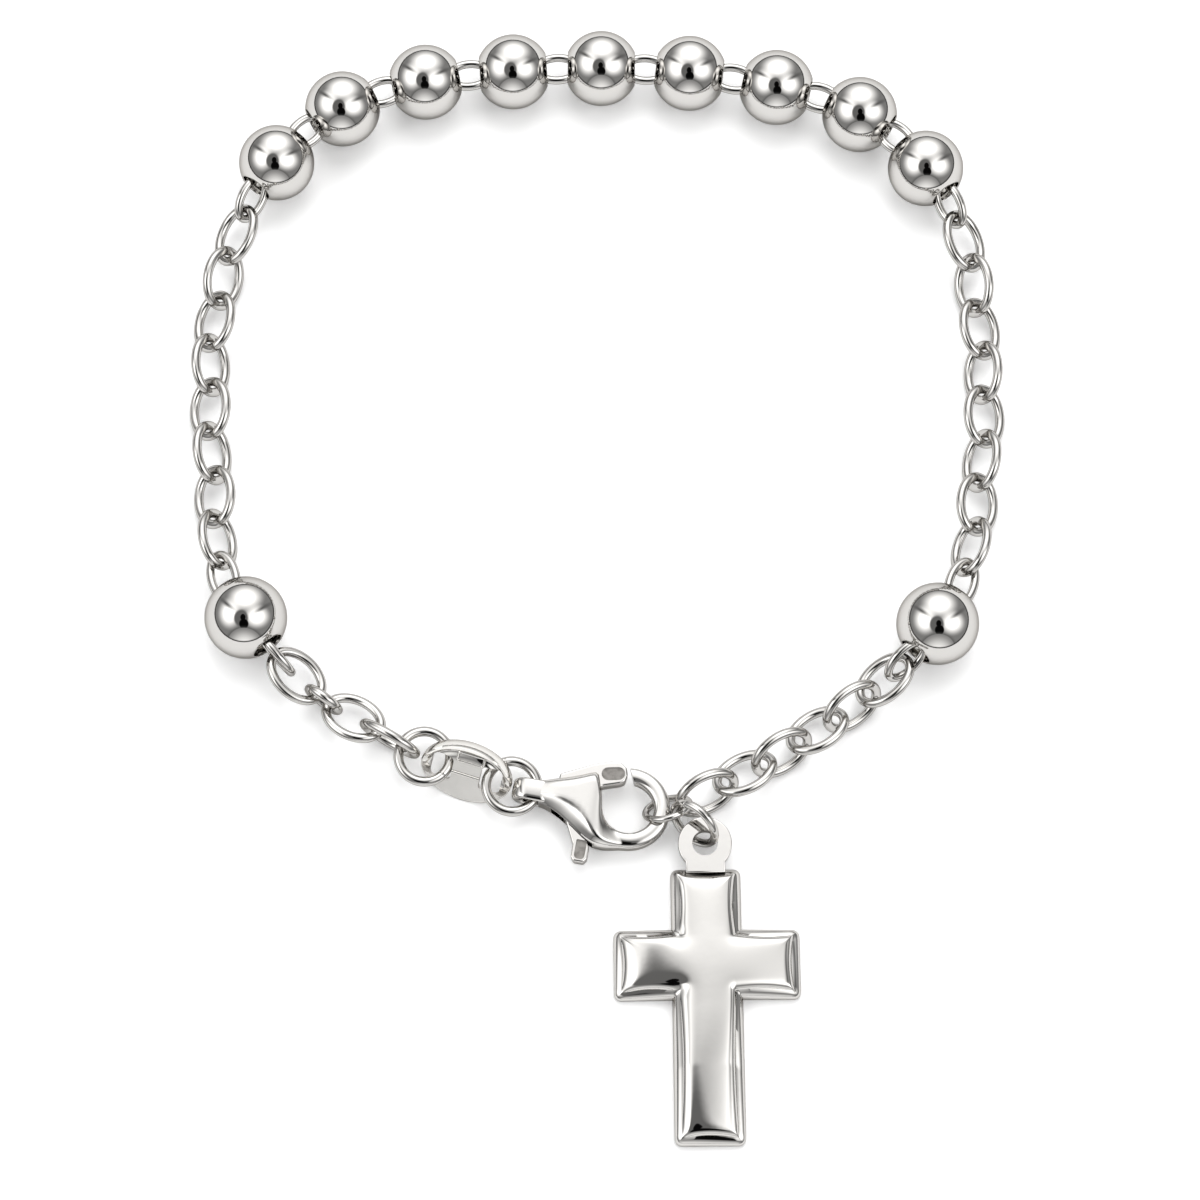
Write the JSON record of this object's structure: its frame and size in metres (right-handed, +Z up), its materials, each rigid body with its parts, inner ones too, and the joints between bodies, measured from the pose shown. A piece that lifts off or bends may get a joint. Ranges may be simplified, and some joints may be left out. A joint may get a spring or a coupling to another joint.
{
  "type": "rosary bracelet",
  "caption": "Polished silver rosary bracelet: nine small round beads on rings, two larger beads, oval cable chain, lobster clasp, oval tag and a plain cross, laid flat.",
  "frame": {"origin": "middle of the closed loop, where the wrist goes, at the surface that the bracelet lies on", "axes": "+Z up from the surface, +Y from the cross towards the row of small beads, +X to the right side of the loop"},
  "size_m": [0.0582, 0.0814, 0.0058],
  "materials": {
    "silver": "polished"
  },
  "bodies": {
    "bracelet": {"bead_1": "silver", "bead_2": "silver", "bead_3": "silver", "bead_4": "silver", "bead_5": "silver", "bead_6": "silver", "bead_7": "silver", "bead_8": "silver", "bead_9": "silver", "bead_pin_1": "silver", "bead_pin_2": "silver", "bead_pin_3": "silver", "bead_pin_4": "silver", "bead_pin_5": "silver", "bead_pin_6": "silver", "bead_pin_7": "silver", "bead_pin_8": "silver", "bead_pin_9": "silver", "ring_1": "silver", "ring_2": "silver", "ring_3": "silver", "ring_4": "silver", "ring_5": "silver", "ring_6": "silver", "ring_7": "silver", "ring_8": "silver", "bead_left": "silver", "bead_pin_left": "silver", "bead_right": "silver", "bead_pin_right": "silver", "ring_left_top": "silver", "ring_left_low": "silver", "ring_right_top": "silver", "ring_right_low": "silver", "ring_tail": "silver", "ring_tag_side": "silver", "chain_left": "silver", "chain_right": "silver", "chain_tail": "silver", "chain_clasp": "silver", "hook_ring": "silver", "clasp_body": "silver", "jump_ring_1": "silver", "jump_ring_2": "silver", "tag": "silver", "cross_ring": "silver", "cross": "silver"},
    "lever": {"clasp_lever": "silver"}
  },
  "joints": [
    {"name": "clasp_lever_hinge", "type": "hinge", "parent": "bracelet", "child": "lever", "pos_m": [-0.00228, -0.02679, 0.0014], "axis": [0, 0, -1], "range_deg": [0, 25], "stiffness_Nm_per_rad": 0.0001, "springref_deg": -11.46}
  ]
}
